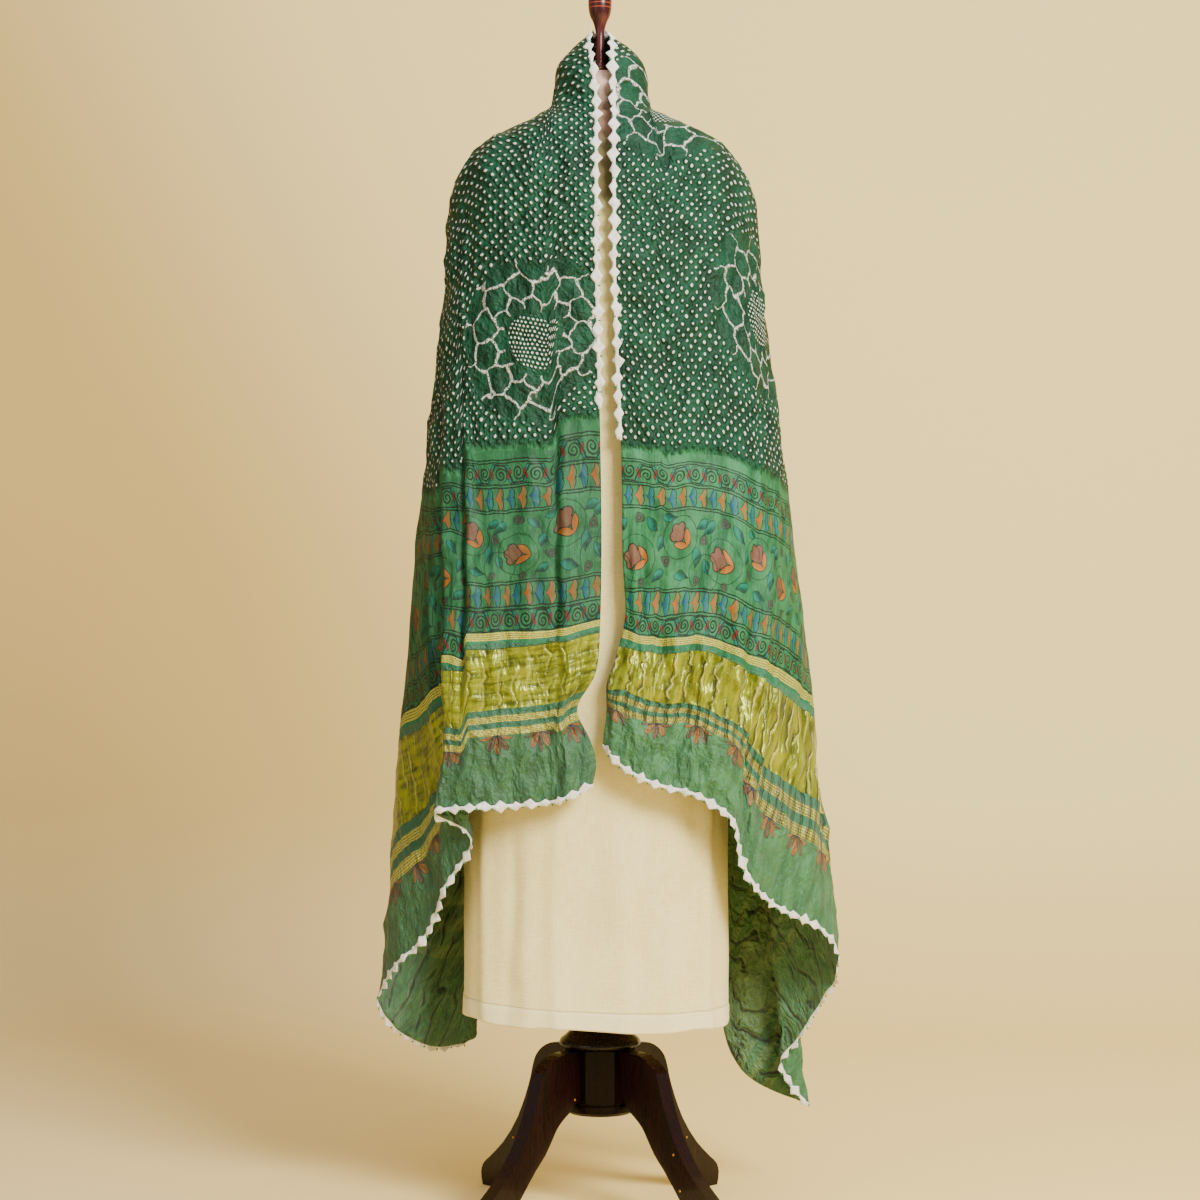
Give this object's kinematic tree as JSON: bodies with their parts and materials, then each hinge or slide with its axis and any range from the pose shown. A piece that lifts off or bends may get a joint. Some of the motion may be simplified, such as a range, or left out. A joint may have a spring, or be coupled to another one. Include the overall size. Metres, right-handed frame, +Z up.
{
  "type": "bandhani cloth on a dress form",
  "caption": "Crinkled tie-dyed silk shawl with dotted body, painted borders, gold band and lace edge, hung as a cape over a covered dress form on a splayed wooden stand.",
  "frame": {"origin": "on the floor under the middle of the dress form", "axes": "+Z up, the form faces -Y, +X towards its own left shoulder, which is the viewer's right"},
  "size_m": [0.5908, 0.3939, 1.5566],
  "materials": {
    "bandhani_silk": "matt crinkled silk",
    "cotton_lace": "matt cotton",
    "linen": "matt woven",
    "form_skin": "matt",
    "dark_wood": "dark gloss varnish",
    "brass": "polished"
  },
  "bodies": {
    "root": {"cloth": "bandhani_silk", "lace_neck": "cotton_lace", "lace_back": "cotton_lace", "lace_left_end": "cotton_lace", "lace_right_end": "cotton_lace", "form_torso": "form_skin", "form_cover": "linen", "finial": "dark_wood", "finial_ring": "brass", "stand_collar": "dark_wood", "stand_hub": "dark_wood", "leg_front_left": "dark_wood", "leg_front_right": "dark_wood", "leg_back_right": "dark_wood", "leg_back_left": "dark_wood"}
  },
  "joints": []
}
